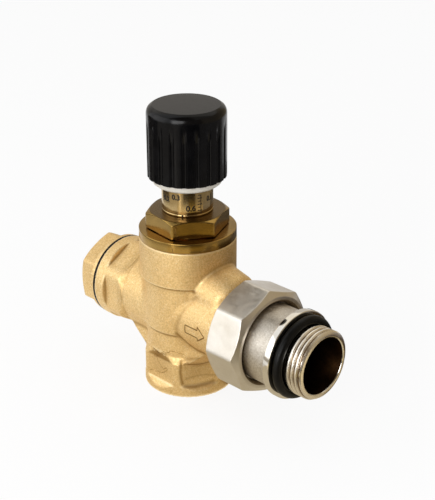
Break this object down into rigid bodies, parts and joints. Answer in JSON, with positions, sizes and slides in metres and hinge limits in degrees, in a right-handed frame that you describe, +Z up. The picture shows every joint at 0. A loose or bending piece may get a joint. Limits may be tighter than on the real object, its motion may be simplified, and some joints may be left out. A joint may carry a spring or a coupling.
{
  "type": "differential bypass valve",
  "caption": "Brass angle bypass valve with a spring-loaded seat, a graduated setting neck under a black knob, a union tailpiece and a plugged alternative inlet.",
  "frame": {"origin": "centre of the inlet port's mouth", "axes": "+Z up the stem axis, away from the inlet's mouth; +X along the union tailpiece to the outlet"},
  "size_m": [0.1167, 0.0416, 0.1134],
  "materials": {
    "cast_brass": "sand-blasted hot-pressed brass, matt with fine specks",
    "turned_brass": "turned and milled, semi-polished",
    "satin_brass": "satin, printed with a scale",
    "nickel_plate": "nickel plating, bright on turned faces and satin on flats",
    "spring_steel": "stainless",
    "black_plastic": "glossy black moulding",
    "white_plastic": "off-white moulding",
    "black_rubber": "satin rubber",
    "fibre": "pressed fibre"
  },
  "bodies": {
    "casing": {"valve_body": "cast_brass", "bonnet": "turned_brass", "bonnet_seal": "black_rubber", "scale_sleeve": "satin_brass", "travel_clip": "spring_steel", "spring": "spring_steel"},
    "setting": {"plunger": "turned_brass", "plunger_seals": "black_rubber"},
    "handle": {"knob": "black_plastic", "knob_insert": "white_plastic"},
    "disc": {"stem": "spring_steel", "disc_holder": "turned_brass", "disc_seal": "black_rubber", "seal_washer": "spring_steel", "stem_nut": "spring_steel"},
    "tail": {"union_tail": "nickel_plate", "tail_seal_ring": "black_rubber", "snap_ring": "spring_steel", "union_gasket": "fibre"},
    "nut": {"union_nut": "nickel_plate"},
    "gasket": {"plug_gasket": "black_rubber"},
    "plug": {"rear_plug": "turned_brass"}
  },
  "joints": [
    {"name": "setting_slide", "type": "slide", "parent": "casing", "child": "setting", "axis": [0, 0, 1], "range_m": [-0.0075, 0], "deforming": ["spring"]},
    {"name": "knob_turn", "type": "hinge", "parent": "setting", "child": "handle", "pos_m": [0, 0, 0.0995], "axis": [0, 0, 1], "range_deg": [-1350, 0]},
    {"name": "disc_lift", "type": "slide", "parent": "casing", "child": "disc", "axis": [0, 0, 1], "range_m": [0, 0.004], "stiffness_N_per_m": 3000, "springref_m": -0.003},
    {"name": "union_slide", "type": "slide", "parent": "casing", "child": "tail", "axis": [1, 0, 0], "range_m": [0, 0.008]},
    {"name": "union_nut_turn", "type": "hinge", "parent": "tail", "child": "nut", "pos_m": [0.0366, 0, 0.032], "axis": [1, 0, 0], "range_deg": [0, 1920]},
    {"name": "plug_slide", "type": "slide", "parent": "casing", "child": "gasket", "axis": [-1, 0, 0], "range_m": [0, 0.0125]},
    {"name": "rear_plug_turn", "type": "hinge", "parent": "gasket", "child": "plug", "pos_m": [-0.038, 0, 0.032], "axis": [-1, 0, 0], "range_deg": [0, 2480]}
  ],
  "couplings": [
    {"joint": "knob_turn", "follows": "setting_slide", "rad_per_m": 3141.6},
    {"joint": "union_nut_turn", "follows": "union_slide", "rad_per_m": 4188.8},
    {"joint": "rear_plug_turn", "follows": "plug_slide", "rad_per_m": 3462.7}
  ]
}
